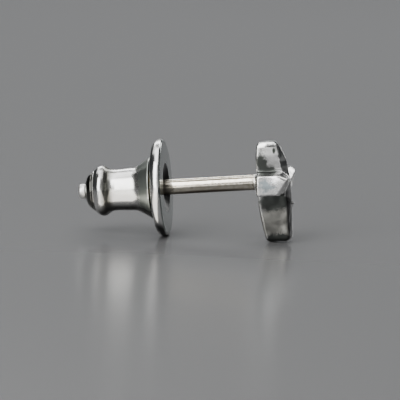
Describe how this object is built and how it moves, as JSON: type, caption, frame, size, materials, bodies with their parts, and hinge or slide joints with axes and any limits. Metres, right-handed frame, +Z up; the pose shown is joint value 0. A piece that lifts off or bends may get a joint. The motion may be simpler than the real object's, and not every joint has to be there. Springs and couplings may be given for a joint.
{
  "type": "tie tack",
  "caption": "Tie tack: ridged cross head on a straight post, held by a spool-shaped pull-to-release ball-lock clutch with a round flange.",
  "frame": {"origin": "root of the post, in the flat back plane of the cross head", "axes": "+X out of the front of the head along the post's axis, -X along the post to the clutch, +Z up the cross's upright, Y along its crossbar"},
  "size_m": [0.0194, 0.0086, 0.0097],
  "materials": {
    "silver_head": "polished, hand hewn facets with softened edges",
    "post_wire": "drawn wire, lightly polished, slightly warm",
    "solder": "satin",
    "silver_plate": "mirror polished plating over brass",
    "brass_inner": "machined",
    "steel_inner": "stamped",
    "spring_steel": "drawn",
    "ball_steel": "polished"
  },
  "bodies": {
    "pin": {"cross_head": "silver_head", "post": "post_wire", "solder_ring": "solder"},
    "thrust_ring": {"thrust_washer": "steel_inner"},
    "clutch_base": {"flange": "silver_plate", "barrel": "brass_inner", "retaining_ring": "steel_inner", "spring": "spring_steel"},
    "cage": {"ball_cage": "brass_inner", "nub": "silver_plate"},
    "spool": {"sleeve": "silver_plate", "end_cap": "silver_plate"},
    "ball_1": {"ball_1": "ball_steel"},
    "ball_2": {"ball_2": "ball_steel"},
    "ball_3": {"ball_3": "ball_steel"}
  },
  "joints": [
    {"name": "clutch_slide", "type": "slide", "parent": "pin", "child": "thrust_ring", "axis": [-1, 0, 0], "range_m": [-0.004, 0.0045]},
    {"name": "clutch_turn", "type": "hinge", "parent": "thrust_ring", "child": "clutch_base", "pos_m": [-0.00824, 0, 0], "axis": [1, 0, 0], "continuous": true},
    {"name": "release", "type": "slide", "parent": "clutch_base", "child": "cage", "axis": [-1, 0, 0], "range_m": [0, 0.0008], "stiffness_N_per_m": 400, "springref_m": -0.0008, "deforming": ["spring"]},
    {"name": "spool_turn", "type": "hinge", "parent": "cage", "child": "spool", "pos_m": [-0.01524, 0, 0], "axis": [1, 0, 0], "continuous": true},
    {"name": "ball_1_out", "type": "slide", "parent": "cage", "child": "ball_1", "axis": [0, 0, 1], "range_m": [0, 0.000142]},
    {"name": "ball_2_out", "type": "slide", "parent": "cage", "child": "ball_2", "axis": [0, 0.866, -0.5], "range_m": [0, 0.000142]},
    {"name": "ball_3_out", "type": "slide", "parent": "cage", "child": "ball_3", "axis": [0, -0.866, -0.5], "range_m": [0, 0.000142]}
  ],
  "couplings": [
    {"joint": "ball_1_out", "follows": "release", "ratio": 0.17633},
    {"joint": "ball_2_out", "follows": "release", "ratio": 0.17633},
    {"joint": "ball_3_out", "follows": "release", "ratio": 0.17633}
  ]
}
